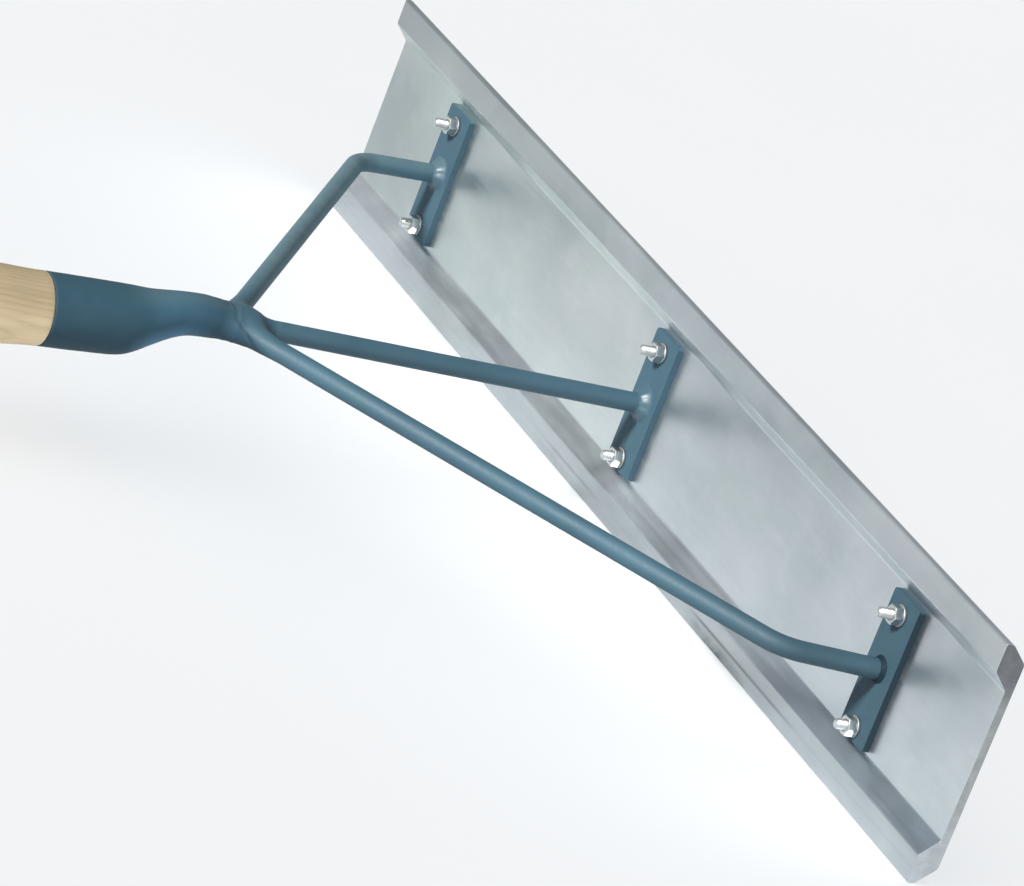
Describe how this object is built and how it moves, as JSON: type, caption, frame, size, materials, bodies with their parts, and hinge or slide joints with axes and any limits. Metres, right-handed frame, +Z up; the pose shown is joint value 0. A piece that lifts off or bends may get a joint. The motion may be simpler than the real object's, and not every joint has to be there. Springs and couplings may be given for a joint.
{
  "type": "asphalt rake",
  "caption": "Asphalt rake for spreading and levelling hot mix: a wide flat aluminium blade with thick edges, bolted to a fan of bent steel bars with a tapered socket and a long wooden handle.",
  "frame": {"origin": "on the floor under the middle of the tool, as it rests on the lower edge of the blade and on the butt of the handle", "axes": "+X along the blade, +Y from the handle towards the blade, +Z up"},
  "size_m": [0.85, 1.781, 0.1399],
  "materials": {
    "aluminium": "mill finish of a drawn section, faintly streaked along its length",
    "blue_paint": "satin steel-blue paint, flatter on the brackets and the socket, brighter over the welds",
    "zinc": "bright zinc plating",
    "wood": "smooth sanded ash with long straight grain"
  },
  "bodies": {
    "root": {"blade": "aluminium", "bracket_left": "blue_paint", "bracket_centre": "blue_paint", "bracket_right": "blue_paint", "outer_brace": "blue_paint", "centre_brace": "blue_paint", "socket": "blue_paint", "handle": "wood", "bolts_left": "zinc", "bolts_centre": "zinc", "bolts_right": "zinc", "washers_left": "zinc", "washers_centre": "zinc", "washers_right": "zinc", "nuts_left": "zinc", "nuts_centre": "zinc", "nuts_right": "zinc"}
  },
  "joints": []
}
